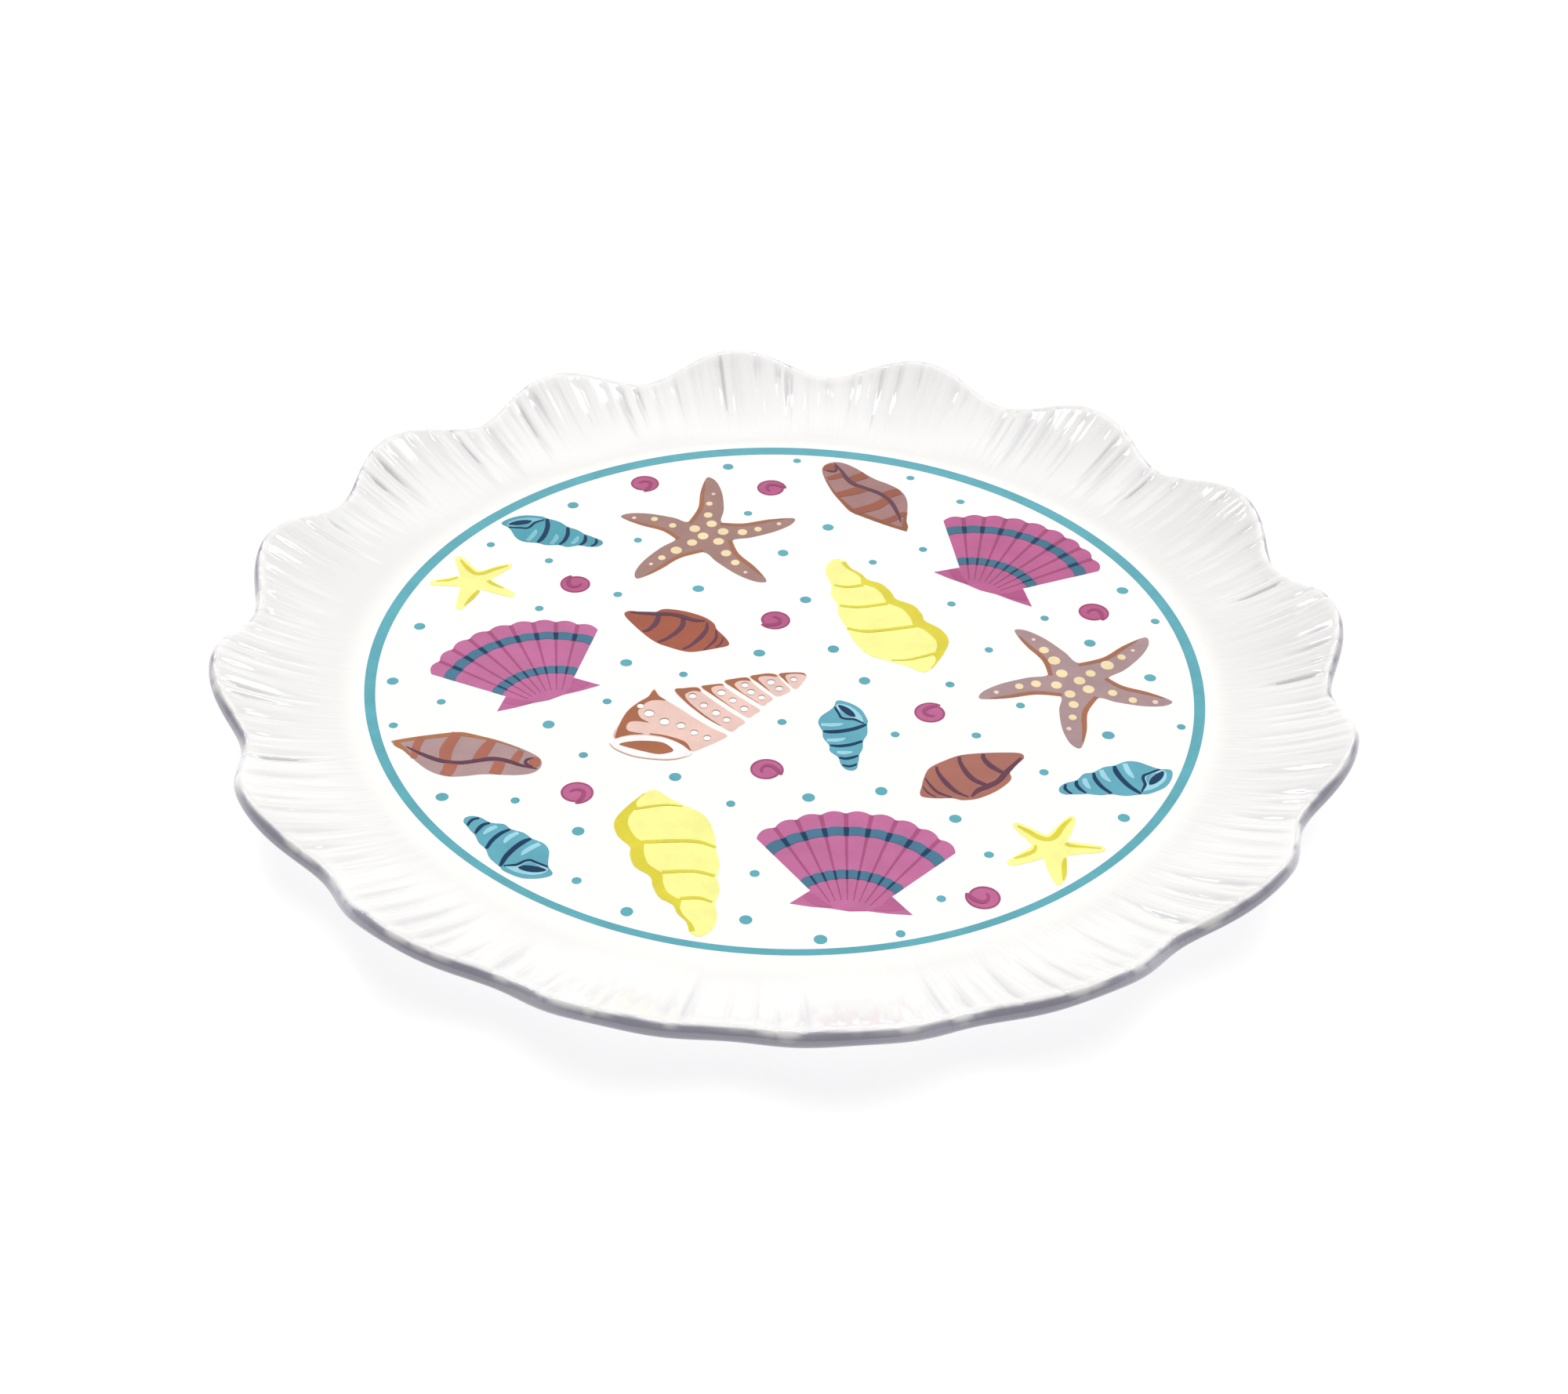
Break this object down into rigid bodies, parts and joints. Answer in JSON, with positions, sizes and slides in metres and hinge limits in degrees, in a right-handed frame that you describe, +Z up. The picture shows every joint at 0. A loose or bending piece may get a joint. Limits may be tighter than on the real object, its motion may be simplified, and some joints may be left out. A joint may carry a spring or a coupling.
{
  "type": "souvenir plate",
  "caption": "Round scalloped ceramic plate with a fluted rim, a flat well and a foot ring, its well printed with sea shells, starfish and dots inside a teal ring.",
  "frame": {"origin": "centre of the foot ring's resting plane, under the middle of the plate", "axes": "+Z up, out of the well; +X to the right and +Y away from a person who sees the front scallop shell upright"},
  "size_m": [0.2696, 0.2696, 0.0193],
  "materials": {
    "glaze": "glossy white glaze over a cast ceramic body",
    "teal_enamel": "teal printed enamel, fired glossy",
    "pink_enamel": "pink printed enamel, fired glossy",
    "brown_enamel": "mauve-brown printed enamel, fired glossy",
    "yellow_enamel": "pale yellow printed enamel, fired glossy",
    "rust_enamel": "rust printed enamel, fired glossy",
    "mauve_enamel": "mauve printed enamel with rust stripes, fired glossy",
    "blue_enamel": "blue-green printed enamel, fired glossy",
    "blush_enamel": "blush printed enamel, fired glossy",
    "magenta_enamel": "magenta printed enamel, fired glossy"
  },
  "bodies": {
    "root": {"plate_body": "glaze", "rim_band": "teal_enamel", "scallop_front": "pink_enamel", "scallop_left": "pink_enamel", "scallop_right": "pink_enamel", "starfish_back": "brown_enamel", "starfish_right": "brown_enamel", "small_star_front": "yellow_enamel", "small_star_left": "yellow_enamel", "conch_back": "yellow_enamel", "conch_front": "yellow_enamel", "snail_front": "rust_enamel", "snail_left": "rust_enamel", "olive_left": "mauve_enamel", "olive_back": "mauve_enamel", "whelk_middle": "blue_enamel", "whelk_right": "blue_enamel", "whelk_back": "blue_enamel", "whelk_front": "blue_enamel", "auger": "blush_enamel", "spiral_1": "magenta_enamel", "spiral_2": "magenta_enamel", "spiral_3": "magenta_enamel", "spiral_4": "magenta_enamel", "spiral_5": "magenta_enamel", "spiral_6": "magenta_enamel", "spiral_7": "magenta_enamel", "spiral_8": "magenta_enamel", "spiral_9": "magenta_enamel"}
  },
  "joints": []
}
